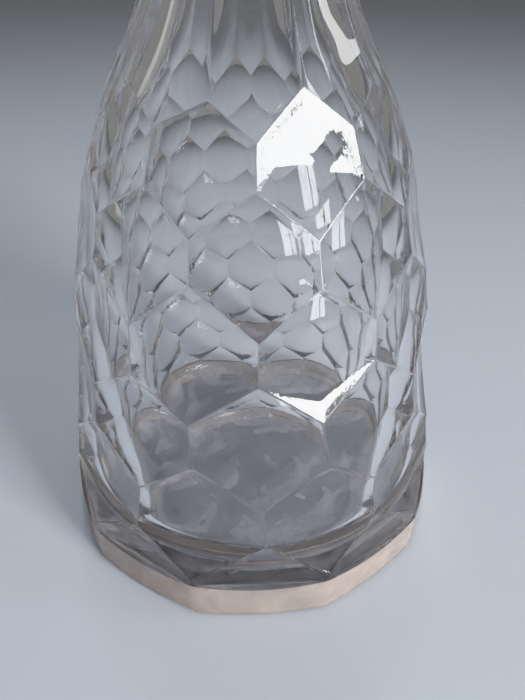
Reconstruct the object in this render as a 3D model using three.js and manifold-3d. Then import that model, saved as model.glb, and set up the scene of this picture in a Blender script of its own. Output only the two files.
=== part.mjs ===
// Cut-glass wine decanter: a heavy blown bottle whose outside is cut all over, and its ground-in ball stopper.
// Millimetres, +Z up, -Y to the front. The origin is the centre of the foot, on the surface it stands on.
//
// Both pieces are cut in COLUMNS columns. Going round, every second column line is half a column away from
// the next, so places round the axis are counted in half columns: even ones lie under the neck's flutes, odd
// ones lie on the ridges between the flutes and on the corners of the foot.

import * as THREE from 'three';
import { mergeVertices } from 'three/addons/utils/BufferGeometryUtils.js';
import Module from 'manifold-3d';

// ---------------------------------------------------------------- driving dimensions

const COLUMNS = 10;                // facets, flutes and foot corners round the axis
const POINTS_PER_COLUMN = 4;       // points that each column gets on a plain ring

// bottle, outside
const FOOT_RADIUS = 60;            // across the corners of the foot band
const FOOT_CHAMFER = 1.2;          // worn edge where the band meets the table
const BAND_TOP = 12.3;             // height of the plain band round the foot
const BAND_DIP = 0.8;              // how far the facets above run down into the middle of each band side
const BAND_ROUNDNESS = 0.5;        // 0 for flat band sides, 1 for a round band
const BODY_OUTLINE = [             // radius and height of the ridges between the cuts
  [60.5, BAND_TOP], [57.6, 30], [55.2, 50], [52.7, 70], [49.5, 90], [45.3, 110],
  [37.6, 130], [27.0, 150], [19.4, 172], [16.2, 194], [16.2, 214],
];
const HONEYCOMB_BOTTOM = 14.7;     // lowest points of the lowest full hexagons
const HONEYCOMB_ROWS = 5;          // full rows of hexagons
const RING_STEP = 12.1;            // height between rings of hexagon corners on the body
const RING_STEP_PER_RADIUS = 0.22; // and its limit on the shoulder, as a part of the radius there
const FACET_HOLLOW = 0.4;          // depth of each wheel-cut facet below its own corners
const FLUTE_HOLLOW = 0.6;
const FLUTE_RINGS = 12;            // rings along the flutes, from the honeycomb to the lip
const LIP_RADIUS = 24;
const LIP_TOP = 232;               // height of the bottle without its stopper
const LIP_THICKNESS = 4;

// bottle, inside
const FLOOR_HEIGHT = 8.5;          // top of the glass under the inside
const FLOOR_RADIUS = 38;           // where the floor starts to turn up into the wall
const WALL_FOOT = 24;              // height where the wall begins
const WALL = 4.9;                  // glass behind the deepest point of a facet
const WALL_RINGS = 12;
const PUNT_RADIUS = 42;            // shallow ground hollow under the foot
const PUNT_DEPTH = 1.5;

// ground joint between neck and stopper
const SEAT_RADIUS = 11.6;          // bore at the mouth
const SEAT_DEPTH = 28;             // ground length below the mouth
const SEAT_TAPER = 0.05;           // loss of radius per millimetre of depth
const MOUTH_CHAMFER = 0.8;
const JOINT_GAP = 0.3;

// stopper
const PLUG_DEPTH = 26.5;           // how far it reaches into the neck
const WAIST_RADIUS = 9.4;
const WAIST_HEIGHT = 6;            // above the lip, where the waist is narrowest
const BALL_RADIUS = 21;
const BALL_CENTRE = LIP_TOP + 28;
const BALL_LATITUDES = [45, 27, 9, -9, -27, -45];   // rings of hexagon corners, from the top down
const TABLE_LATITUDE = 66;         // edge of the flat cut on top
const COLLAR_LATITUDE = -63;       // where the cut ball meets its waist
const BALL_HOLLOW = 0.25;
const ROUND_SEGMENTS = COLUMNS * POINTS_PER_COLUMN;

// ---------------------------------------------------------------- materials

const bottleGlass = new THREE.MeshStandardMaterial({
  color: 0xe3e6e8, roughness: 0.04, metalness: 0, transparent: true, opacity: 0.4,
});
const stopperGlass = new THREE.MeshStandardMaterial({
  color: 0xe8eaec, roughness: 0.05, metalness: 0, transparent: true, opacity: 0.45,
});

// ---------------------------------------------------------------- solids

const wasm = await Module();
wasm.setup();

function solidFrom(geometry) {
  const bare = geometry.index ? geometry.clone() : geometry;
  bare.deleteAttribute('normal');
  bare.deleteAttribute('uv');
  const merged = mergeVertices(bare, 1e-4);
  return new wasm.Manifold(new wasm.Mesh({
    numProp: 3,
    vertProperties: new Float32Array(merged.attributes.position.array),
    triVerts: new Uint32Array(merged.index.array),
  }));
}

function geometryFrom(solid) {
  const mesh = solid.getMesh();
  const geometry = new THREE.BufferGeometry();
  geometry.setAttribute('position', new THREE.BufferAttribute(new Float32Array(mesh.vertProperties), 3));
  geometry.setIndex(new THREE.BufferAttribute(new Uint32Array(mesh.triVerts), 1));
  geometry.computeVertexNormals();
  return geometry;
}

// A solid of revolution about Z from a closed outline of [radius, height] pairs that starts and ends on the axis.
function turned(outline) {
  const points = outline.map(([radius, height]) => new THREE.Vector2(radius, height));
  const lathe = new THREE.LatheGeometry(points, ROUND_SEGMENTS);
  lathe.rotateX(Math.PI / 2);
  return solidFrom(lathe);
}

// Triangles gathered face by face, all wound to be seen from outside.
class Skin {
  positions = [];

  triangle(a, b, c) {
    for (const point of [a, b, c]) this.positions.push(point.x, point.y, point.z);
  }

  // rim runs anticlockwise as seen from outside
  fan(centre, rim) {
    rim.forEach((point, i) => this.triangle(centre, point, rim[(i + 1) % rim.length]));
  }

  // a belt between two closed rings of equal length
  belt(lower, upper) {
    lower.forEach((point, i) => {
      const next = (i + 1) % lower.length;
      this.triangle(point, lower[next], upper[next]);
      this.triangle(point, upper[next], upper[i]);
    });
  }

  toSolid() {
    const geometry = new THREE.BufferGeometry();
    geometry.setAttribute('position', new THREE.Float32BufferAttribute(this.positions, 3));
    return solidFrom(geometry);
  }
}

// ---------------------------------------------------------------- places on a cut form

const HALF_COLUMN = Math.PI / COLUMNS;
const FLAT = Math.cos(HALF_COLUMN);    // distance of a flat side's middle, as a part of its corner radius

// A point at a radius and height, round the axis by a number of half columns from the front.
function place(radius, halfColumns, height) {
  const angle = halfColumns * HALF_COLUMN;
  return new THREE.Vector3(radius * Math.sin(angle), -radius * Math.cos(angle), height);
}

// 0 in the middle of a side or flute, 1 on the ridge between two of them
function offMiddle(halfColumns) {
  return Math.abs(halfColumns - 2 * Math.round(halfColumns / 2));
}

// A ring of ROUND_SEGMENTS points, with radius and height as functions of the place round the axis.
function ring(radiusAt, heightAt) {
  return Array.from({ length: ROUND_SEGMENTS }, (_, i) => {
    const halfColumns = (2 * i) / POINTS_PER_COLUMN;
    return place(radiusAt(halfColumns), halfColumns, heightAt(halfColumns));
  });
}

const roundRing = (radius, height) => ring(() => radius, () => height);

// Radius at a height on a smooth curve through [radius, height] pairs with rising heights.
function smoothOutline(pairs) {
  const curve = new THREE.SplineCurve(pairs.map(([radius, height]) => new THREE.Vector2(radius, height)));
  return (height) => {
    let low = 0;
    let high = 1;
    for (let i = 0; i < 40; i += 1) {
      const middle = (low + high) / 2;
      if (curve.getPoint(middle).y < height) low = middle;
      else high = middle;
    }
    return curve.getPoint(low).x;
  };
}

// The middle of a cut facet: the mean of its corners, sunk towards the axis by the depth of the cut.
function sunkMiddle(corners, hollow) {
  const middle = new THREE.Vector3();
  corners.forEach((corner) => middle.add(corner));
  middle.divideScalar(corners.length);
  const radius = Math.hypot(middle.x, middle.y);
  middle.x *= 1 - hollow / radius;
  middle.y *= 1 - hollow / radius;
  return middle;
}

// Rows of staggered hexagons. rings holds the heights of the rings of corners from the top down: each row
// has its tip on one ring, its upper and lower side corners on the next two and its lowest corner on the fourth,
// and the next row starts two rings further down, half a column round.
function cutHoneycomb(skin, rings, rows, radiusAt, hollow) {
  const corner = (ringIndex, halfColumns) => place(radiusAt(rings[ringIndex]), halfColumns, rings[ringIndex]);
  for (let row = 0; row < rows; row += 1) {
    const tip = 2 * row;
    for (let column = 0; column < COLUMNS; column += 1) {
      const middle = 2 * column + (row % 2 === 0 ? 1 : 0);
      const corners = [
        corner(tip, middle), corner(tip + 1, middle - 1), corner(tip + 2, middle - 1),
        corner(tip + 3, middle), corner(tip + 2, middle + 1), corner(tip + 1, middle + 1),
      ];
      skin.fan(sunkMiddle(corners, hollow), corners);
    }
  }
  return corner;
}

// Facets that fill the notches between the lowest hexagons down to a ring, or the highest ones up to a ring.
// notch is the half column of a hexagon's side; the ring's points between the two tips beside it close the facet.
function closeNotches(skin, notchRing, tipRing, corner, edge, parity, upwards, hollow) {
  for (let column = 0; column < COLUMNS; column += 1) {
    const notch = 2 * column + parity;
    const edgePoints = [];
    for (let i = 0; i <= POINTS_PER_COLUMN; i += 1) {
      const index = ((notch - 1) * POINTS_PER_COLUMN) / 2 + i;
      edgePoints.push(edge[(index + ROUND_SEGMENTS) % ROUND_SEGMENTS]);
    }
    const left = corner(tipRing, notch - 1);
    const right = corner(tipRing, notch + 1);
    const tip = corner(notchRing, notch);
    const rim = upwards
      ? [tip, right, ...edgePoints.reverse(), left]
      : [tip, left, ...edgePoints, right];
    const distinct = rim.filter((point, i) => point.distanceTo(rim[(i + 1) % rim.length]) > 1e-3);
    skin.fan(sunkMiddle(distinct, hollow), distinct);
  }
}

// ---------------------------------------------------------------- bottle

const bodyRadius = smoothOutline(BODY_OUTLINE);
const footRadius = (edgeRadius) => (halfColumns) => {
  const flat = (edgeRadius * FLAT) / Math.cos(offMiddle(halfColumns) * HALF_COLUMN);
  return flat + (edgeRadius - flat) * BAND_ROUNDNESS;
};
const fluteRadius = (height) => (halfColumns) => {
  const off = offMiddle(halfColumns);
  return (bodyRadius(height) * FLAT) / Math.cos(off * HALF_COLUMN) - FLUTE_HOLLOW * (1 - off * off);
};

// Heights of the hexagon corners, from the top ring down.
function bodyRings() {
  const heights = [HONEYCOMB_BOTTOM];
  while (heights.length < 2 * HONEYCOMB_ROWS + 2) {
    const last = heights[heights.length - 1];
    heights.push(last + Math.min(RING_STEP, RING_STEP_PER_RADIUS * bodyRadius(last)));
  }
  return heights.reverse();
}

function bottleOutside() {
  const skin = new Skin();
  const rings = bodyRings();
  const lowest = rings.length - 1;
  const level = (height) => () => height;

  const tableEdge = ring(footRadius(FOOT_RADIUS - FOOT_CHAMFER), level(0));
  const bandBottom = ring(footRadius(FOOT_RADIUS), level(FOOT_CHAMFER));
  const bandTop = ring(footRadius(bodyRadius(BAND_TOP)), (halfColumns) => (
    BAND_TOP - BAND_DIP * (1 - offMiddle(halfColumns) ** 2)
  ));
  skin.fan(new THREE.Vector3(0, 0, 0), [...tableEdge].reverse());
  skin.belt(tableEdge, bandBottom);
  skin.belt(bandBottom, bandTop);

  const corner = cutHoneycomb(skin, rings, HONEYCOMB_ROWS, bodyRadius, FACET_HOLLOW);
  closeNotches(skin, lowest - 1, lowest, corner, bandTop, 0, false, FACET_HOLLOW);

  const fluteTop = BODY_OUTLINE[BODY_OUTLINE.length - 1][1];
  const fluteStart = ring(fluteRadius(rings[0]), level(rings[0]));
  closeNotches(skin, 1, 0, corner, fluteStart, 0, true, 0);
  let below = fluteStart;
  for (let i = 1; i <= FLUTE_RINGS; i += 1) {
    const height = rings[0] + ((fluteTop - rings[0]) * i) / FLUTE_RINGS;
    const above = ring(fluteRadius(height), level(height));
    skin.belt(below, above);
    below = above;
  }

  const lipUnderside = LIP_TOP - LIP_THICKNESS;
  const neckRadius = bodyRadius(fluteTop) * FLAT;
  const flare = LIP_RADIUS - neckRadius;
  const lip = [
    roundRing(neckRadius + flare * 0.14, fluteTop + (lipUnderside - fluteTop) * 0.5),
    roundRing(neckRadius + flare * 0.42, fluteTop + (lipUnderside - fluteTop) * 0.85),
    roundRing(LIP_RADIUS - LIP_THICKNESS * 0.35, lipUnderside),
    roundRing(LIP_RADIUS, lipUnderside + LIP_THICKNESS * 0.35),
    roundRing(LIP_RADIUS, LIP_TOP - LIP_THICKNESS * 0.35),
    roundRing(LIP_RADIUS - LIP_THICKNESS * 0.35, LIP_TOP),
  ];
  for (const above of lip) {
    skin.belt(below, above);
    below = above;
  }
  skin.fan(new THREE.Vector3(0, 0, LIP_TOP), below);
  return skin.toSolid();
}

// The blown inside: a thick flat floor, a rounded heel, a wall that follows the cuts, and the ground mouth.
function bottleInside() {
  const seatBottom = LIP_TOP - SEAT_DEPTH;
  const seatEnd = SEAT_RADIUS - SEAT_TAPER * SEAT_DEPTH;
  const wallRadius = (height) => bodyRadius(height) * FLAT - FACET_HOLLOW - WALL;
  const heel = new THREE.QuadraticBezierCurve(
    new THREE.Vector2(FLOOR_RADIUS, FLOOR_HEIGHT),
    new THREE.Vector2(wallRadius(WALL_FOOT), FLOOR_HEIGHT),
    new THREE.Vector2(wallRadius(WALL_FOOT), WALL_FOOT),
  ).getPoints(4).map((point) => [point.x, point.y]);
  const wall = [];
  for (let i = 1; i < WALL_RINGS; i += 1) {
    const height = WALL_FOOT + ((seatBottom - WALL_FOOT) * i) / WALL_RINGS;
    wall.push([Math.max(wallRadius(height), seatEnd - JOINT_GAP), height]);
  }
  const overshoot = 5;
  return turned([
    [0, FLOOR_HEIGHT],
    ...heel,
    ...wall,
    [seatEnd, seatBottom],
    [SEAT_RADIUS - SEAT_TAPER * MOUTH_CHAMFER, LIP_TOP - MOUTH_CHAMFER],
    [SEAT_RADIUS + MOUTH_CHAMFER, LIP_TOP],
    [SEAT_RADIUS + MOUTH_CHAMFER, LIP_TOP + overshoot],
    [0, LIP_TOP + overshoot],
  ]);
}

// The shallow hollow ground into the underside, which leaves a flat ring to stand on.
function punt() {
  const depths = [1, 0.75, 0.5, 0.25, 0];
  const arch = depths.map((part) => [PUNT_RADIUS * Math.sqrt(1 - part), PUNT_DEPTH * part]);
  const overshoot = 2;
  return turned([[0, -overshoot], [PUNT_RADIUS, -overshoot], ...arch.reverse()]);
}

function decanterBody() {
  return geometryFrom(bottleOutside().subtract(bottleInside()).subtract(punt()));
}

// ---------------------------------------------------------------- stopper

const latitudeHeight = (degrees) => BALL_CENTRE + BALL_RADIUS * Math.sin(THREE.MathUtils.degToRad(degrees));
const ballRadius = (height) => Math.sqrt(BALL_RADIUS ** 2 - (height - BALL_CENTRE) ** 2);

function cutBall() {
  const skin = new Skin();
  const rings = BALL_LATITUDES.map(latitudeHeight);
  const lowest = rings.length - 1;
  const rows = (rings.length - 2) / 2;
  const tableHeight = latitudeHeight(TABLE_LATITUDE);
  const collarHeight = latitudeHeight(COLLAR_LATITUDE);
  const decagon = (radius, height) => ring(
    (halfColumns) => (radius * FLAT) / Math.cos(offMiddle(halfColumns) * HALF_COLUMN),
    () => height,
  );
  const table = decagon(ballRadius(tableHeight), tableHeight);
  const collar = decagon(ballRadius(collarHeight), collarHeight);

  const corner = cutHoneycomb(skin, rings, rows, ballRadius, BALL_HOLLOW);
  closeNotches(skin, 1, 0, corner, table, 0, true, BALL_HOLLOW);
  closeNotches(skin, lowest - 1, lowest, corner, collar, rows % 2 === 0 ? 1 : 0, false, BALL_HOLLOW);
  skin.fan(new THREE.Vector3(0, 0, tableHeight), table);
  skin.fan(new THREE.Vector3(0, 0, collarHeight), [...collar].reverse());
  return skin.toSolid();
}

// The ground plug and the waist above it, which runs a little way up into the cut ball.
function plugAndWaist() {
  const plugRadius = (depth) => SEAT_RADIUS - JOINT_GAP - SEAT_TAPER * depth;
  const endRound = 1.2;
  const insideBall = latitudeHeight(COLLAR_LATITUDE) + 4;
  return turned([
    [0, LIP_TOP - PLUG_DEPTH],
    [plugRadius(PLUG_DEPTH) - endRound, LIP_TOP - PLUG_DEPTH],
    [plugRadius(PLUG_DEPTH - endRound), LIP_TOP - PLUG_DEPTH + endRound],
    [plugRadius(0), LIP_TOP],
    [plugRadius(0) - 0.5, LIP_TOP + 2],
    [WAIST_RADIUS + 0.4, LIP_TOP + WAIST_HEIGHT - 2],
    [WAIST_RADIUS, LIP_TOP + WAIST_HEIGHT],
    [WAIST_RADIUS, insideBall],
    [0, insideBall],
  ]);
}

function stopper() {
  return geometryFrom(cutBall().add(plugAndWaist()));
}

// ---------------------------------------------------------------- assembly

function named(name, geometry, material) {
  const mesh = new THREE.Mesh(geometry, material);
  mesh.name = name;
  return mesh;
}

const decanter = new THREE.Group();
decanter.add(named('decanter_body', decanterBody(), bottleGlass));
decanter.add(named('stopper', stopper(), stopperGlass));

export default decanter;
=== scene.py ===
"""Cut-glass wine decanter: the finished glass surfaces, their materials, the light and the camera.

Outlines and cuts are worked out in millimetres, in the frame's own axes, and turned into metres when a mesh
is made. Places round the axis are counted in half columns from the front: even ones lie in the middle of a
flute or foot side, odd ones on the ridge between two of them.
"""

import math

import bmesh
import bpy
import numpy as np
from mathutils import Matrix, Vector


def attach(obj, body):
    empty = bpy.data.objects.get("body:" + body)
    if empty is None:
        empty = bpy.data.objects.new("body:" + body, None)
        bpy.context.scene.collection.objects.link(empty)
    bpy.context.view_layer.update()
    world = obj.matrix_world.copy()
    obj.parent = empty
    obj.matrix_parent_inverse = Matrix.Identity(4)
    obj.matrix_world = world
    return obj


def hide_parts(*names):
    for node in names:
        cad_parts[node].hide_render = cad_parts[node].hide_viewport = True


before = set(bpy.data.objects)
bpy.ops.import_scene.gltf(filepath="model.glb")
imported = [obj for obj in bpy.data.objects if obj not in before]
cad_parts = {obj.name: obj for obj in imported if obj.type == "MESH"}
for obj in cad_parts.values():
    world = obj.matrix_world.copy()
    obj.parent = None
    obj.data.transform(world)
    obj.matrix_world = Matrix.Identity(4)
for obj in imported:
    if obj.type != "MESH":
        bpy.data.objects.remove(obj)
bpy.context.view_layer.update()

MM = 0.001

# ---------------------------------------------------------------- dimensions in millimetres

COLUMNS = 10
HALF_COLUMN = math.pi / COLUMNS
FLAT = math.cos(HALF_COLUMN)  # distance of a flat side's middle, as a part of its corner radius
EDGE_STEPS = 10  # steps along each facet edge
RING_POINTS = 2 * EDGE_STEPS * COLUMNS

FOOT_RADIUS = 60.0
FOOT_ROUND = 1.2
BAND_TOP = 12.3
BAND_DIP = 0.8
BAND_ROUNDNESS = 0.5
BODY_OUTLINE = (
    (60.5, BAND_TOP), (57.6, 30), (55.2, 50), (52.7, 70), (49.5, 90), (45.3, 110),
    (37.6, 130), (27.0, 150), (19.4, 172), (16.2, 194), (16.2, 214),
)
HONEYCOMB_BOTTOM = 14.7
HONEYCOMB_ROWS = 5
RING_STEP = 12.1
RING_STEP_PER_RADIUS = 0.22
FACET_HOLLOW = 0.15
CUT_STRAY = 0.6  # how far a hand-cut corner strays from its true place
FRONT_STRAYS = {  # by ring and half column, how far the front corners stray to the right and up
    (0, -1): (1.2, -1.0), (0, 1): (0.0, 1.3),
    (1, -2): (0.7, 2.0), (1, 0): (0.2, 0.0), (1, 2): (-0.7, 1.5),
    (2, -2): (0.9, 0.0), (2, 0): (0.0, 0.2), (2, 2): (-0.4, 0.5),
    (3, -1): (-0.7, 0.2), (3, 1): (-0.5, -0.4),
    (4, -1): (-0.5, 1.0), (4, 1): (-0.2, -0.2),
    (5, -2): (-1.2, -0.7), (5, 0): (0.2, -0.6), (5, 2): (-0.5, -0.2),
    (6, -2): (-0.5, -2.0), (6, 0): (0.0, 0.0), (6, 2): (-1.5, 1.0),
    (7, -1): (-1.0, 0.0), (7, 1): (-0.7, 0.0),
    (8, -1): (0.0, 0.2), (8, 1): (1.3, -0.6),
    (9, -2): (1.8, 0.8), (9, 0): (1.2, 0.0), (9, 2): (-2.0, 1.5),
    (10, 0): (1.8, 0.4), (10, 2): (-2.0, 0.5),
    (11, -1): (-0.8, -0.6), (11, 1): (0.5, -0.6),
}
FLUTE_HOLLOW = 0.6
FLUTE_RUN_OUT = 13.0  # length over which the wheel lifts out at the foot of each flute
FLUTE_FADE = (204.0, 216.0)  # heights where the flutes begin and finish fading out under the lip
FLUTE_ROWS = 60
FLUTE_ROW_SPREAD = 1.4  # above 1, the rows lie closer together at the foot of the flutes
LIP_TOP = 232.0
LIP_RADIUS = 24.0
LIP_OUTLINE = ((16.2, 216), (17.0, 220), (18.9, 224), (22.3, 227.6))
LIP_EDGE_ROUND = 2.0

FLOOR_HEIGHT = 8.5
FLOOR_RADIUS = 38.0
WALL_FOOT = 24.0
WALL = 5.3  # from the middle of a flat side to the inside
WALL_ROWS = 90
HEEL_ROWS = 16
FLOOR_RISE = 0.5  # how far the floor rises to its middle
FLOOR_RINGS = (36, 33, 30, 27, 24, 21, 18, 15, 12, 9, 6, 3, 1)  # radii
BLOWN_WAVE = 0.12  # unevenness of the blown inside
PUNT_RADIUS = 42.0
PUNT_DEPTH = 1.5

SEAT_RADIUS = 11.6
SEAT_DEPTH = 28.0
SEAT_TAPER = 0.05
SEAT_ROWS = 12
MOUTH_CHAMFER = 0.8
JOINT_GAP = 0.3

PLUG_DEPTH = 26.5
PLUG_END_ROUND = 1.2
PLUG_ROWS = 12
WAIST_RADIUS = 9.4
BALL_RADIUS = 21.0
BALL_CENTRE = LIP_TOP + 28
BALL_LATITUDES = (45, 27, 9, -9, -27, -45)
TABLE_LATITUDE = 66
COLLAR_LATITUDE = -63
BALL_HOLLOW = 0.25


# ---------------------------------------------------------------- surfaces


class Surface:
    """Faces with welded corners, each in a material slot. Points are in millimetres."""

    def __init__(self):
        self.points = []
        self.faces = []
        self.slots = []
        self.found = {}
        self.rims = {}
        self.slot = 0

    def vertex(self, point):
        key = tuple(round(value * 1000) for value in point)
        if key not in self.found:
            self.found[key] = len(self.points)
            self.points.append(tuple(point))
        return self.found[key]

    def face(self, *corners):
        indices = list(dict.fromkeys(self.vertex(corner) for corner in corners))
        if len(indices) > 2:
            self.faces.append(indices)
            self.slots.append(self.slot)

    def belt(self, lower, upper):
        """Joins two closed rings. Seen from outside, the rings run to the right and upper is above lower."""
        for i, point in enumerate(lower):
            j = (i + 1) % len(lower)
            self.face(point, lower[j], upper[j], upper[i])

    def belts(self, rings):
        for lower, upper in zip(rings, rings[1:]):
            self.belt(lower, upper)

    def fan(self, centre, rim):
        """Closes a rim that runs anticlockwise, seen from outside."""
        for i, point in enumerate(rim):
            self.face(centre, point, rim[(i + 1) % len(rim)])

    def to_object(self, name, materials):
        mesh = bpy.data.meshes.new(name)
        mesh.from_pydata([Vector(point) * MM for point in self.points], [], self.faces)
        mesh.polygons.foreach_set("material_index", self.slots)
        mesh.polygons.foreach_set("use_smooth", [True] * len(self.faces))
        for material in materials:
            mesh.materials.append(material)
        rim = mesh.attributes.new("rim", "FLOAT", "POINT")
        rim.data.foreach_set("value", [self.rims.get(i, 0.0) for i in range(len(self.points))])
        welder = bmesh.new()
        welder.from_mesh(mesh)
        bmesh.ops.remove_doubles(welder, verts=welder.verts, dist=0.004 * MM)
        welder.to_mesh(mesh)
        welder.free()
        made = bpy.data.objects.new(name, mesh)
        bpy.context.collection.objects.link(made)
        return made


def place(radius, half_columns, height):
    angle = half_columns * HALF_COLUMN
    return Vector((radius * math.sin(angle), -radius * math.cos(angle), height))


def off_middle(half_columns):
    """0 in the middle of a side or flute, 1 on the ridge between two of them."""
    return abs(half_columns - 2 * round(half_columns / 2))


def ring(radius_at, height_at):
    """A closed ring of points, with radius and height as numbers or functions of the place round the axis."""
    radius_of = radius_at if callable(radius_at) else lambda half_columns: radius_at
    height_of = height_at if callable(height_at) else lambda half_columns: height_at
    places = [i / EDGE_STEPS for i in range(RING_POINTS)]
    return [place(radius_of(half), half, height_of(half)) for half in places]


def smooth_curve(pairs, steps=40):
    """Points along the smooth curve (uniform Catmull-Rom) through (radius, height) pairs."""
    points = np.array(pairs, float)
    last = len(points) - 1
    curve = []
    for i in range(last):
        before, here = points[max(i - 1, 0)], points[i]
        there, after = points[i + 1], points[min(i + 2, last)]
        leaving, arriving = (there - before) / 2, (after - here) / 2
        for t in np.arange(steps) / steps:
            cubic = 2 * here - 2 * there + leaving + arriving
            square = -3 * here + 3 * there - 2 * leaving - arriving
            curve.append(cubic * t**3 + square * t**2 + leaving * t + here)
    curve.append(points[last])
    return np.array(curve)


def radius_by_height(pairs):
    curve = smooth_curve(pairs)
    return lambda height: float(np.interp(height, curve[:, 1], curve[:, 0]))


def smooth_step(low, high, value):
    t = min(max((value - low) / (high - low), 0.0), 1.0)
    return t * t * (3 - 2 * t)


# ---------------------------------------------------------------- wheel-cut facets

BOWL_LEVELS = (0.12, 0.25, 0.38, 0.5, 0.61, 0.71, 0.8, 0.88, 0.94, 0.975, 1.0)
WHEEL_CURVE = 0.006  # the usual rise of a cut towards its tips, per millimetre squared
WHEEL_TRUST = 50.0  # how strongly a cut keeps to that where its corners say little
WHEEL_FLATNESS = 0.9  # a cut is this much flatter inside and makes up for it close to its edges
EDGE_SINK = WHEEL_CURVE / 4  # how far an edge sinks between its corners, per millimetre of its rise squared


def edge_points(start, end):
    """Points along the edge between two hollow cuts, without its end."""
    sink = EDGE_SINK * (end.z - start.z) ** 2
    points = []
    for i in range(EDGE_STEPS):
        t = i / EDGE_STEPS
        point = start.lerp(end, t)
        inwards = Vector((-point.x, -point.y, 0)).normalized()
        points.append(point + inwards * sink * 4 * t * (1 - t))
    return points


def polygon_rim(corners):
    rim = []
    for i, corner in enumerate(corners):
        rim += edge_points(corner, corners[(i + 1) % len(corners)])
    return rim


def cut_facet(surface, corners, rim, hollow):
    """A polished cut as a grinding wheel leaves it, hollow from tip to tip and a little hollow across.

    Corners and rim run anticlockwise, seen from outside.
    """
    centre = sum(corners, Vector()) / len(corners)
    normal = Vector()
    for i, corner in enumerate(corners):
        normal += (corner - centre).cross(corners[(i + 1) % len(corners)] - centre)
    normal.normalize()
    across = Vector((0, 0, 1)).cross(normal).normalized()
    upward = normal.cross(across)

    def local(point):
        offset = point - centre
        return offset.dot(across), offset.dot(upward), offset.dot(normal)

    spread = hollow / max(abs(local(corner)[0]) for corner in corners) ** 2
    terms, rises = [(0, 0, 0, WHEEL_TRUST)], [WHEEL_TRUST * WHEEL_CURVE]
    for corner in corners:
        u, v, rise = local(corner)
        terms.append((1, u, v, v * v))
        rises.append(rise - spread * u * u)
    level, lean, tilt, curve = (float(value) for value in np.linalg.lstsq(terms, rises, rcond=None)[0])

    def wheel(u, v):
        return level + lean * u + tilt * v + WHEEL_FLATNESS * curve * v * v + spread * u * u

    outline = [local(point) for point in rim]
    inner = None
    for part in BOWL_LEVELS:
        bowl = []
        for u, v, rise in outline:
            depth = wheel(part * u, part * v) + part**6 * (rise - wheel(u, v))
            bowl.append(centre + across * part * u + upward * part * v + normal * depth)
        for point in bowl:
            surface.rims[surface.vertex(point)] = part**4
        if inner is None:
            surface.fan(centre + normal * level, bowl)
        else:
            surface.belt(bowl, inner)
        inner = bowl


def cut_honeycomb(surface, rings, rows, corner, hollow):
    """Rows of staggered hexagons between rings of corners, which are counted from the top down."""
    for row in range(rows):
        tip = 2 * row
        for column in range(COLUMNS):
            middle = 2 * column + (1 if row % 2 == 0 else 0)
            corners = [
                corner(tip, middle), corner(tip + 1, middle - 1), corner(tip + 2, middle - 1),
                corner(tip + 3, middle), corner(tip + 2, middle + 1), corner(tip + 1, middle + 1),
            ]
            cut_facet(surface, corners, polygon_rim(corners), hollow)


def arc_of_ring(points, from_half, to_half):
    first, last = round(from_half * EDGE_STEPS), round(to_half * EDGE_STEPS)
    return [points[i % len(points)] for i in range(first, last + 1)]


# ---------------------------------------------------------------- bottle

body_radius = radius_by_height(BODY_OUTLINE)


def body_ring_heights():
    heights = [HONEYCOMB_BOTTOM]
    while len(heights) < 2 * HONEYCOMB_ROWS + 2:
        heights.append(heights[-1] + min(RING_STEP, RING_STEP_PER_RADIUS * body_radius(heights[-1])))
    return heights[::-1]


BODY_RINGS = body_ring_heights()


def body_corner(ring_index, half_columns):
    """A corner of the honeycomb, a little off its true place, as a hand-held cut leaves it."""
    half_columns = (half_columns + COLUMNS) % (2 * COLUMNS) - COLUMNS
    seed = 7 * ring_index + 3 * half_columns  # any fixed pattern with no visible repeat will do
    strays = CUT_STRAY * math.sin(1.9 * seed), CUT_STRAY * math.sin(2.7 * seed + 1)
    sideways, up = FRONT_STRAYS.get((ring_index, half_columns), strays)
    height = BODY_RINGS[ring_index] + up
    radius = body_radius(height)
    return place(radius, half_columns + sideways / (radius * HALF_COLUMN), height)


def foot_radius(corner_radius):
    def at(half_columns):
        flat = corner_radius * FLAT / math.cos(off_middle(half_columns) * HALF_COLUMN)
        return flat + (corner_radius - flat) * BAND_ROUNDNESS

    return at


def flute_point(half_columns, height):
    """A point on the fluted neck, whose flutes fade out under the lip."""
    off = off_middle(half_columns)
    ridge = body_radius(height)
    cut = ridge * FLAT / math.cos(off * HALF_COLUMN) - FLUTE_HOLLOW * (1 - off * off)
    fade = smooth_step(*FLUTE_FADE, height)
    return place(cut + (ridge - cut) * fade, half_columns, height)


def underside_rings():
    """The underside from its centre out to the foot edge."""
    arch = [i / 12 for i in range(12, 0, -1)]
    rings = [ring(PUNT_RADIUS * math.sqrt(1 - part), PUNT_DEPTH * part) for part in arch[1:]]
    return rings + [ring(PUNT_RADIUS + step, 0.0) for step in (0.0, 0.4, 5.0, 10.0)]


def foot_rings():
    """The rounded foot edge and the band above it."""
    rings = []
    for turn in (0, 22.5, 45, 67.5, 90):
        angle = math.radians(turn)
        edge = FOOT_RADIUS - FOOT_ROUND * (1 - math.sin(angle))
        rings.append(ring(foot_radius(edge), FOOT_ROUND * (1 - math.cos(angle))))
    band_height = BAND_TOP - FOOT_ROUND
    for part in (0.06, 0.2, 0.4, 0.6, 0.8, 0.94, 0.975, 1.0):
        corner_radius = FOOT_RADIUS + (BODY_OUTLINE[0][0] - FOOT_RADIUS) * part

        def height(half, part=part):
            return FOOT_ROUND + part * (band_height - BAND_DIP * (1 - off_middle(half) ** 2))

        rings.append(ring(foot_radius(corner_radius), height))
    return rings


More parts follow.
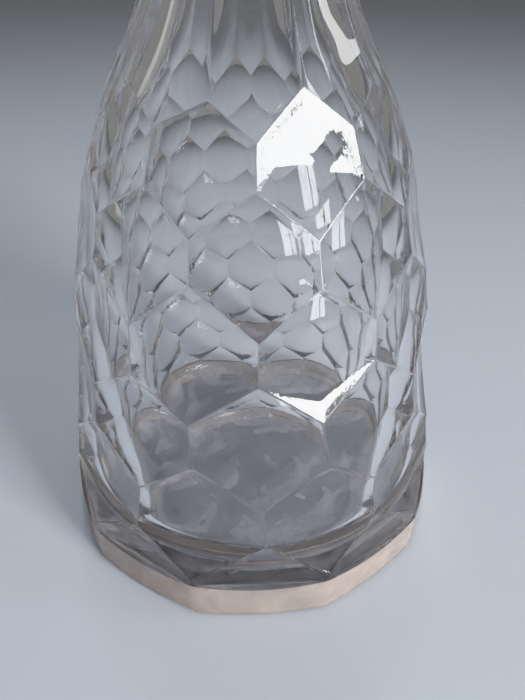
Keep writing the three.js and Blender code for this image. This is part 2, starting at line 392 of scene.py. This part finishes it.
def cut_above_band(surface, band_top):
    """The notches between the lowest hexagons, cut down to the plain band."""
    lowest = len(BODY_RINGS) - 1
    for column in range(COLUMNS):
        middle = 2 * column
        tip = body_corner(lowest - 1, middle)
        left, right = body_corner(lowest, middle - 1), body_corner(lowest, middle + 1)
        along_band = arc_of_ring(band_top, middle - 1, middle + 1)
        corners = [tip, left, along_band[0], along_band[-1], right]
        rim = edge_points(tip, left) + edge_points(left, along_band[0]) + along_band[:-1]
        rim += edge_points(along_band[-1], right) + edge_points(right, tip)
        cut_facet(surface, corners, rim, FACET_HOLLOW)


def flute_rows():
    """Rings up the shoulder and neck. The first follows the tips of the honeycomb down into its notches."""
    top = FLUTE_FADE[1]
    starts = []
    for column in range(COLUMNS):
        middle = 2 * column
        notch, left, right = body_corner(1, middle), body_corner(0, middle - 1), body_corner(0, middle + 1)
        starts += edge_points(left, notch) + edge_points(notch, right)
    starts = starts[EDGE_STEPS:] + starts[:EDGE_STEPS]
    rows = [starts]
    places = [i / EDGE_STEPS for i in range(RING_POINTS)]
    strays = [start - flute_point(half, start.z) for half, start in zip(places, starts)]
    for row in range(1, FLUTE_ROWS + 1):
        part = (row / FLUTE_ROWS) ** FLUTE_ROW_SPREAD
        line = []
        for half, start, stray in zip(places, starts, strays):
            height = start.z + (top - start.z) * part
            lift_out = max(0.0, 1 - (height - start.z) / FLUTE_RUN_OUT) ** 2
            line.append(flute_point(half, height) + Vector((stray.x, stray.y, 0)) * lift_out)
        rows.append(line)
    return rows


def lip_rings():
    """From the top of the neck out over the lip and in to the mouth."""
    rings = [ring(radius, height) for radius, height in smooth_curve(LIP_OUTLINE, 5)[1:]]
    edge_radius = LIP_RADIUS - LIP_EDGE_ROUND
    for turn in range(-70, 91, 16):
        angle = math.radians(turn)
        radius = edge_radius + LIP_EDGE_ROUND * math.cos(angle)
        rings.append(ring(radius, LIP_TOP - LIP_EDGE_ROUND * (1 - math.sin(angle))))
    mouth = SEAT_RADIUS + MOUTH_CHAMFER
    rings += [ring(radius, LIP_TOP) for radius in (edge_radius - 0.5, mouth + 4, mouth + 0.6, mouth + 0.15)]
    return rings


def seat_rings():
    """The ground taper inside the mouth, from the top down."""
    mouth = SEAT_RADIUS + MOUTH_CHAMFER
    rings = [ring(mouth, LIP_TOP - 0.12)]
    for i in range(SEAT_ROWS + 1):
        depth = MOUTH_CHAMFER + (SEAT_DEPTH - MOUTH_CHAMFER) * i / SEAT_ROWS
        rings.append(ring(SEAT_RADIUS - SEAT_TAPER * depth, LIP_TOP - depth))
    return rings


def blown(radius, height):
    """A ring of the inside, with the gentle unevenness of blown glass."""
    def uneven(half_columns):
        angle = half_columns * HALF_COLUMN
        wave = math.sin(3 * angle + 0.05 * height) + 0.7 * math.sin(5 * angle - 0.09 * height + 1)
        return radius + BLOWN_WAVE * wave * min(1.0, radius / 30)

    return ring(uneven, height)


def inside_rings():
    """The blown inside below the seat, down the wall, round the heel and in to the middle of the floor."""
    def wall_radius(height):
        return body_radius(height) * FLAT - WALL

    seat_end = SEAT_RADIUS - SEAT_TAPER * SEAT_DEPTH
    seat_bottom = LIP_TOP - SEAT_DEPTH
    rings = []
    for i in range(1, WALL_ROWS + 1):
        height = seat_bottom + (WALL_FOOT - seat_bottom) * i / WALL_ROWS
        rings.append(blown(max(wall_radius(height), seat_end - JOINT_GAP), height))
    foot = wall_radius(WALL_FOOT)
    for i in range(1, HEEL_ROWS + 1):
        t = 1 - i / HEEL_ROWS
        radius = (1 - t) ** 2 * FLOOR_RADIUS + 2 * t * (1 - t) * foot + t**2 * foot
        rings.append(blown(radius, FLOOR_HEIGHT + (WALL_FOOT - FLOOR_HEIGHT) * t**2))
    for radius in FLOOR_RINGS:
        rings.append(blown(float(radius), FLOOR_HEIGHT + FLOOR_RISE * (1 - radius / FLOOR_RADIUS)))
    return rings


def make_bottle(materials):
    outside, inside, ground, band, worn = range(5)
    surface = Surface()
    surface.slot = worn
    underside = underside_rings()
    surface.fan(Vector((0, 0, PUNT_DEPTH)), underside[0][::-1])
    surface.belts(underside)
    surface.slot = band
    foot = foot_rings()
    surface.belts([underside[-1]] + foot)
    surface.slot = outside
    cut_above_band(surface, foot[-1])
    cut_honeycomb(surface, BODY_RINGS, HONEYCOMB_ROWS, body_corner, FACET_HOLLOW)
    neck = flute_rows() + lip_rings()
    surface.belts(neck)
    surface.slot = ground
    seat = seat_rings()
    surface.belts([neck[-1]] + seat)
    surface.slot = inside
    hollow = inside_rings()
    surface.belts([seat[-1]] + hollow)
    surface.fan(Vector((0, 0, FLOOR_HEIGHT + FLOOR_RISE)), hollow[-1])
    return surface.to_object("decanter_body_glass", materials)


# ---------------------------------------------------------------- stopper


def latitude_height(degrees):
    return BALL_CENTRE + BALL_RADIUS * math.sin(math.radians(degrees))


def ball_radius(height):
    return math.sqrt(BALL_RADIUS**2 - (height - BALL_CENTRE) ** 2)


BALL_RINGS = [latitude_height(latitude) for latitude in BALL_LATITUDES]


def ball_corner(ring_index, half_columns):
    height = BALL_RINGS[ring_index]
    return place(ball_radius(height), half_columns, height)


def decagon_ring(radius, height, corner_half):
    """A ring with straight sides and its corners on the odd or even half columns."""
    def at(half_columns):
        return radius * FLAT / math.cos(off_middle(half_columns - corner_half + 1) * HALF_COLUMN)

    return ring(at, height)


def cut_to_ring(surface, tip_ring, notch_ring, edge, parity, upwards):
    """Closes the notches beyond an end row of hexagons with facets that run to a ring of straight edges."""
    for column in range(COLUMNS):
        middle = 2 * column + parity
        tip = ball_corner(notch_ring, middle)
        left, right = ball_corner(tip_ring, middle - 1), ball_corner(tip_ring, middle + 1)
        along = arc_of_ring(edge, middle - 1, middle + 1)
        if upwards:
            along.reverse()
            left, right = right, left
        corners = [tip, left, along[0], along[-1], right]
        rim = edge_points(tip, left) + edge_points(left, along[0]) + along[:-1]
        rim += edge_points(along[-1], right) + edge_points(right, tip)
        cut_facet(surface, corners, rim, BALL_HOLLOW)


def plug_rings():
    """The ground plug, from its end up to the mouth."""
    def plug_radius(depth):
        return SEAT_RADIUS - JOINT_GAP - SEAT_TAPER * depth

    end = plug_radius(PLUG_DEPTH)
    bottom = LIP_TOP - PLUG_DEPTH
    rings = [ring(radius, bottom) for radius in (3.0, 6.0, end - PLUG_END_ROUND)]
    for turn in (30, 60, 90):
        angle = math.radians(turn)
        radius = end - PLUG_END_ROUND * (1 - math.sin(angle))
        rings.append(ring(radius, bottom + PLUG_END_ROUND * (1 - math.cos(angle))))
    for i in range(1, PLUG_ROWS + 1):
        depth = (PLUG_DEPTH - PLUG_END_ROUND) * (1 - i / PLUG_ROWS)
        rings.append(ring(plug_radius(depth), LIP_TOP - depth))
    return rings


def waist_rings():
    """The polished waist, from the mouth up to the cut ball."""
    top = latitude_height(COLLAR_LATITUDE)
    outline = (
        (SEAT_RADIUS - JOINT_GAP, LIP_TOP), (SEAT_RADIUS - JOINT_GAP - 0.4, LIP_TOP + 1.2),
        (WAIST_RADIUS + 0.3, LIP_TOP + 3.6), (WAIST_RADIUS - 0.1, LIP_TOP + 6), (WAIST_RADIUS, top - 1.4),
    )
    return [ring(radius, height) for radius, height in smooth_curve(outline, 5)[1:]]


def make_stopper(materials):
    polished, ground = 0, 1
    lowest = len(BALL_RINGS) - 1
    rows = lowest // 2
    surface = Surface()
    surface.slot = ground
    plug = plug_rings()
    surface.fan(Vector((0, 0, LIP_TOP - PLUG_DEPTH)), plug[0][::-1])
    surface.belts(plug)
    surface.slot = polished
    collar_height = latitude_height(COLLAR_LATITUDE)
    collar = decagon_ring(ball_radius(collar_height), collar_height, rows % 2)
    surface.belts([plug[-1]] + waist_rings() + [collar])
    cut_to_ring(surface, lowest, lowest - 1, collar, (rows + 1) % 2, False)
    cut_honeycomb(surface, BALL_RINGS, rows, ball_corner, BALL_HOLLOW)
    table_height = latitude_height(TABLE_LATITUDE)
    table = decagon_ring(ball_radius(table_height), table_height, 1)
    cut_to_ring(surface, 0, 1, table, 0, True)
    centre = Vector((0, 0, table_height))
    inner = table
    for part in (0.96, 0.5):
        smaller = [centre.lerp(point, part) for point in table]
        surface.belt(inner, smaller)
        inner = smaller
    surface.fan(centre, inner)
    return surface.to_object("stopper_glass", materials)


# ---------------------------------------------------------------- materials

GLASS_INDEX = 1.54
CLEAR = (0.985, 0.985, 0.985)
# The foot band is milky from real grinding. Its warm beige tint is a painted reflection of warm surroundings.
MILKY_WITH_PAINTED_REFLECTION = (0.60, 0.51, 0.46)
GROUND_GREY = (0.93, 0.94, 0.95)
FOOT_PALE, FOOT_DULL = (0.97, 0.97, 0.98), (0.84, 0.82, 0.90)
WINE_FILM = (0.86, 0.85, 0.93)
FLOOR_PAPER = (0.52, 0.545, 0.59)


class Nodes:
    """A material's node tree, with short ways to add and link nodes."""

    def __init__(self, name):
        self.material = bpy.data.materials.new(name)
        self.material.use_nodes = True
        self.tree = self.material.node_tree
        self.shader = self.tree.nodes["Principled BSDF"]
        self.place = self.add("ShaderNodeTexCoord").outputs["Object"]

    def add(self, kind, settings=None, inputs=None):
        node = self.tree.nodes.new(kind)
        for key, value in (settings or {}).items():
            setattr(node, key, value)
        for key, value in (inputs or {}).items():
            if isinstance(value, bpy.types.NodeSocket):
                self.tree.links.new(value, node.inputs[key])
            else:
                node.inputs[key].default_value = value
        return node

    def math(self, operation, first, second=0.0):
        return self.add("ShaderNodeMath", {"operation": operation}, {0: first, 1: second}).outputs[0]

    def noise(self, size_mm, detail=3.0, roughness=0.55, distortion=0.0, stretch=(1, 1, 1)):
        """Noise with features of about a size, between 0 and 1."""
        scaled = self.add("ShaderNodeMapping", None, {"Vector": self.place, "Scale": stretch})
        return self.add("ShaderNodeTexNoise", None, {
            "Vector": scaled.outputs[0], "Scale": 1 / (size_mm * MM), "Detail": detail,
            "Roughness": roughness, "Distortion": distortion,
        }).outputs["Fac"]

    def ramp(self, value, low, high, bottom=0.0, top=1.0):
        """Maps low..high of a value smoothly to bottom..top."""
        return self.add("ShaderNodeMapRange", {"interpolation_type": "SMOOTHSTEP"}, {
            "Value": value, "From Min": low, "From Max": high, "To Min": bottom, "To Max": top,
        }).outputs["Result"]

    def blend(self, factor, colour_at_0, colour_at_1):
        """A colour between two, by a factor."""
        mix = self.add("ShaderNodeMix", {"data_type": "RGBA"})
        self.tree.links.new(factor, mix.inputs["Factor"])
        colours = [socket for socket in mix.inputs if socket.type == "RGBA"]
        colours[0].default_value, colours[1].default_value = (*colour_at_0, 1), (*colour_at_1, 1)
        return next(socket for socket in mix.outputs if socket.type == "RGBA")

    def height(self):
        return self.add("ShaderNodeSeparateXYZ", None, {"Vector": self.place}).outputs["Z"]

    def rim(self):
        """1 on the ridges round each cut, falling to 0 in its middle."""
        return self.add("ShaderNodeAttribute", {"attribute_name": "rim"}).outputs["Fac"]

    def bump(self, height, depth_mm):
        settings = {"Height": height, "Distance": depth_mm * MM, "Strength": 1.0}
        bump = self.add("ShaderNodeBump", None, settings)
        self.tree.links.new(bump.outputs[0], self.shader.inputs["Normal"])

    def drive(self, socket, value):
        self.tree.links.new(value, self.shader.inputs[socket])

    def glass(self, colour):
        self.shader.inputs["Base Color"].default_value = (*colour, 1)
        self.shader.inputs["IOR"].default_value = GLASS_INDEX
        self.shader.inputs["Transmission Weight"].default_value = 1.0


def cut_crystal(name):
    """Polished wheel-cut glass, with faint smears, a slight ripple and worn ridges."""
    nodes = Nodes(name)
    nodes.glass(CLEAR)
    rim = nodes.rim()
    smears = nodes.ramp(nodes.noise(22, detail=4, roughness=0.6, distortion=1.5), 0.5, 0.8, top=0.035)
    worn_ridges = nodes.ramp(rim, 0.93, 1.0, top=0.3)
    nodes.drive("Roughness", nodes.math("ADD", smears, worn_ridges))
    near_ridges = nodes.math("MULTIPLY", nodes.math("POWER", rim, 2.0), 3.0)
    crinkle = nodes.math("MULTIPLY", nodes.noise(1.1, detail=2), near_ridges)
    nodes.bump(nodes.math("ADD", nodes.noise(9, detail=1), crinkle), depth_mm=0.025)
    return nodes.material


def milky_band_with_painted_reflection(name):
    """The side of the foot, left matt and milky by the grinding wheel. Its warm beige tint is a painted
    reflection of warm light.
    """
    nodes = Nodes(name)
    # Painted reflection: the beige base colour stands in for reflected warm light, while the milkiness is
    # real.
    nodes.glass(MILKY_WITH_PAINTED_REFLECTION)
    clouds = nodes.noise(12, roughness=0.6, distortion=0.5)
    streaks = nodes.noise(1.2, roughness=0.6, stretch=(0.3, 0.3, 1))
    nodes.drive("Roughness", nodes.ramp(streaks, 0.3, 0.7, bottom=0.14, top=0.24))
    nodes.drive("Transmission Weight", nodes.ramp(clouds, 0.3, 0.7, bottom=0.45, top=0.6))
    nodes.bump(streaks, depth_mm=0.01)
    return nodes.material


def ground_foot(name):
    """The underside, ground flat on the wheel and scratched since."""
    nodes = Nodes(name)
    nodes.glass(FOOT_PALE)
    blotches = nodes.ramp(nodes.noise(18, detail=4, distortion=1.2), 0.4, 0.65)
    scratches = nodes.noise(20, roughness=0.5, distortion=1.0)
    clouds = nodes.noise(26, roughness=0.5, distortion=1.5)
    nodes.drive("Base Color", nodes.blend(blotches, FOOT_PALE, FOOT_DULL))
    nodes.drive("Roughness", nodes.ramp(scratches, 0.3, 0.7, bottom=0.05, top=0.16))
    nodes.drive("Transmission Weight", nodes.ramp(clouds, 0.35, 0.7, bottom=0.88, top=0.98))
    return nodes.material


def blown_inside(name):
    """The inside of the bottle. A dried wine film, faintly purple, clouds the floor."""
    nodes = Nodes(name)
    nodes.glass(CLEAR)
    low = nodes.ramp(nodes.height(), 9.5 * MM, 20 * MM, bottom=1.0, top=0.0)
    swirls = nodes.ramp(nodes.noise(30, detail=4, distortion=0.7), 0.36, 0.7, bottom=0.15)
    specks = nodes.ramp(nodes.noise(2.2, detail=2, roughness=0.5), 0.72, 0.78)
    film = nodes.math("MULTIPLY", low, nodes.math("MAXIMUM", swirls, specks))
    cloudiness = nodes.math("MULTIPLY", film, 0.42)
    nodes.drive("Base Color", nodes.blend(film, CLEAR, WINE_FILM))
    nodes.drive("Roughness", nodes.math("MULTIPLY", film, 0.1))
    nodes.drive("Transmission Weight", nodes.math("SUBTRACT", 1.0, cloudiness))
    nodes.bump(nodes.noise(14, detail=1), depth_mm=0.05)
    return nodes.material


def ground_glass(name):
    """The matt grey surface left by grinding stopper and neck together."""
    nodes = Nodes(name)
    nodes.glass(GROUND_GREY)
    rub_marks = nodes.noise(2.5, detail=4, roughness=0.6, stretch=(1, 1, 6))
    grain = nodes.noise(0.35, roughness=0.7, stretch=(1, 1, 3))
    nodes.drive("Roughness", nodes.ramp(rub_marks, 0.3, 0.7, bottom=0.3, top=0.5))
    nodes.bump(grain, depth_mm=0.03)
    return nodes.material


def matt(name, colour, roughness):
    nodes = Nodes(name)
    nodes.shader.inputs["Base Color"].default_value = (*colour, 1)
    nodes.shader.inputs["Roughness"].default_value = roughness
    nodes.shader.inputs["Specular IOR Level"].default_value = 0.2
    return nodes.material


# ---------------------------------------------------------------- stage, light and camera

CAMERA_DISTANCE = 0.1730  # from the axis
CAMERA_HEIGHT = 0.1617
CAMERA_ROUND = 1.66  # degrees to the left of the front
CAMERA_PITCH = 32.2  # degrees down
CAMERA_YAW = 1.13  # degrees to the right of the axis
CAMERA_LENS = 32.9


FLOOR_REACH = 12.0  # metres from the middle to each side
FLOOR_TOP = -0.3 * MM  # a hair's breadth below the foot, so that the two surfaces don't coincide
WORLD_GREY = (0.24, 0.235, 0.23)

LIT_FACET = Vector((0.0125, -0.038, 0.122))  # the facet that the windows are aimed at
COOL, WHITE = (0.82, 0.9, 1.0), (1.0, 1.0, 1.0)
SOFT_LIGHTS = (  # name, seen from, azimuths, elevations, distance, watts, colour, spread in degrees
    ("window", LIT_FACET, (33, 44.0), (-3.2, 24.2), 1.2, 4.6, WHITE, 100),
    ("window_side", LIT_FACET, (45.5, 53), (-3.2, 24.8), 1.2, 3.0, WHITE, 100),
    ("window_far", LIT_FACET, (82, 87), (24, 42), 1.2, 0.24, WHITE, 100),
    ("overhead", Vector((0, 0, 0)), (150, 210), (65, 115), 1.4, 7, COOL, 180),
    ("left_fill", Vector((0, 0, 0.1)), (-114, -86), (5, 60), 1.3, 0.2, WHITE, 100),
)
MOST_BOUNCES = 32  # light crosses many glass surfaces on its way
MOST_REFLECTIONS = 16


def make_stage():
    size, top = FLOOR_REACH, FLOOR_TOP
    corners = [(-size, -size, top), (size, -size, top), (size, size, top), (-size, size, top)]
    mesh = bpy.data.meshes.new("floor")
    mesh.from_pydata(corners, [], [(0, 1, 2, 3)])
    mesh.materials.append(matt("floor_paper", FLOOR_PAPER, 0.8))
    floor = bpy.data.objects.new("floor", mesh)
    bpy.context.collection.objects.link(floor)


def direction(azimuth, elevation):
    """Azimuth 0 points to the front and 90 to the right. Both are in degrees."""
    around, up = math.radians(azimuth), math.radians(elevation)
    return Vector((math.sin(around) * math.cos(up), -math.cos(around) * math.cos(up), math.sin(up)))


def soft_light(name, seen_from, azimuths, elevations, distance, watts, colour, spread):
    """A flat softbox that fills a range of directions, as seen from a point."""
    def span(limits):
        return 2 * distance * math.tan(math.radians(limits[1] - limits[0]) / 2)

    towards = direction(sum(azimuths) / 2, sum(elevations) / 2)
    data = bpy.data.lights.new(name, "AREA")
    data.shape = "RECTANGLE"
    data.size = span(azimuths) * math.cos(math.radians(sum(elevations) / 2))
    data.size_y = span(elevations)
    data.energy = watts
    data.spread = math.radians(spread)
    data.color = colour
    light = bpy.data.objects.new(name, data)
    light.location = seen_from + towards * distance
    light.rotation_euler = (-towards).to_track_quat("-Z", "Y").to_euler()
    light.visible_camera = False
    bpy.context.collection.objects.link(light)


def make_light():
    world = bpy.data.worlds.new("studio")
    world.use_nodes = True
    background = world.node_tree.nodes["Background"]
    background.inputs["Color"].default_value = (*WORLD_GREY, 1)
    background.inputs["Strength"].default_value = 1.0
    scene = bpy.context.scene
    scene.world = world
    scene.view_settings.view_transform = "Khronos PBR Neutral"
    scene.cycles.max_bounces = MOST_BOUNCES
    scene.cycles.transmission_bounces = MOST_BOUNCES
    scene.cycles.glossy_bounces = MOST_REFLECTIONS
    for settings in SOFT_LIGHTS:
        soft_light(*settings)


def make_camera():
    data = bpy.data.cameras.new("camera")
    data.lens = CAMERA_LENS
    data.clip_start = 0.01
    camera = bpy.data.objects.new("camera", data)
    round_angle = math.radians(CAMERA_ROUND)
    camera.location = (
        -CAMERA_DISTANCE * math.sin(round_angle), -CAMERA_DISTANCE * math.cos(round_angle), CAMERA_HEIGHT,
    )
    camera.rotation_euler = (
        math.radians(90 - CAMERA_PITCH), 0, -math.radians(CAMERA_YAW + CAMERA_ROUND),
    )
    bpy.context.collection.objects.link(camera)
    bpy.context.scene.camera = camera


# ---------------------------------------------------------------- the whole scene

crystal = cut_crystal("cut_crystal")
inside_film = blown_inside("blown_inside")
ground = ground_glass("ground_glass")
foot_band = milky_band_with_painted_reflection("foot_band")
foot_ground = ground_foot("ground_foot")
stopper_crystal = cut_crystal("stopper_crystal_polished")

bottle = make_bottle([crystal, inside_film, ground, foot_band, foot_ground])
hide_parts("decanter_body")
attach(bottle, "bottle")

stopper = make_stopper([stopper_crystal, ground])
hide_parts("stopper")
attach(stopper, "stopper")

make_stage()
make_light()
make_camera()
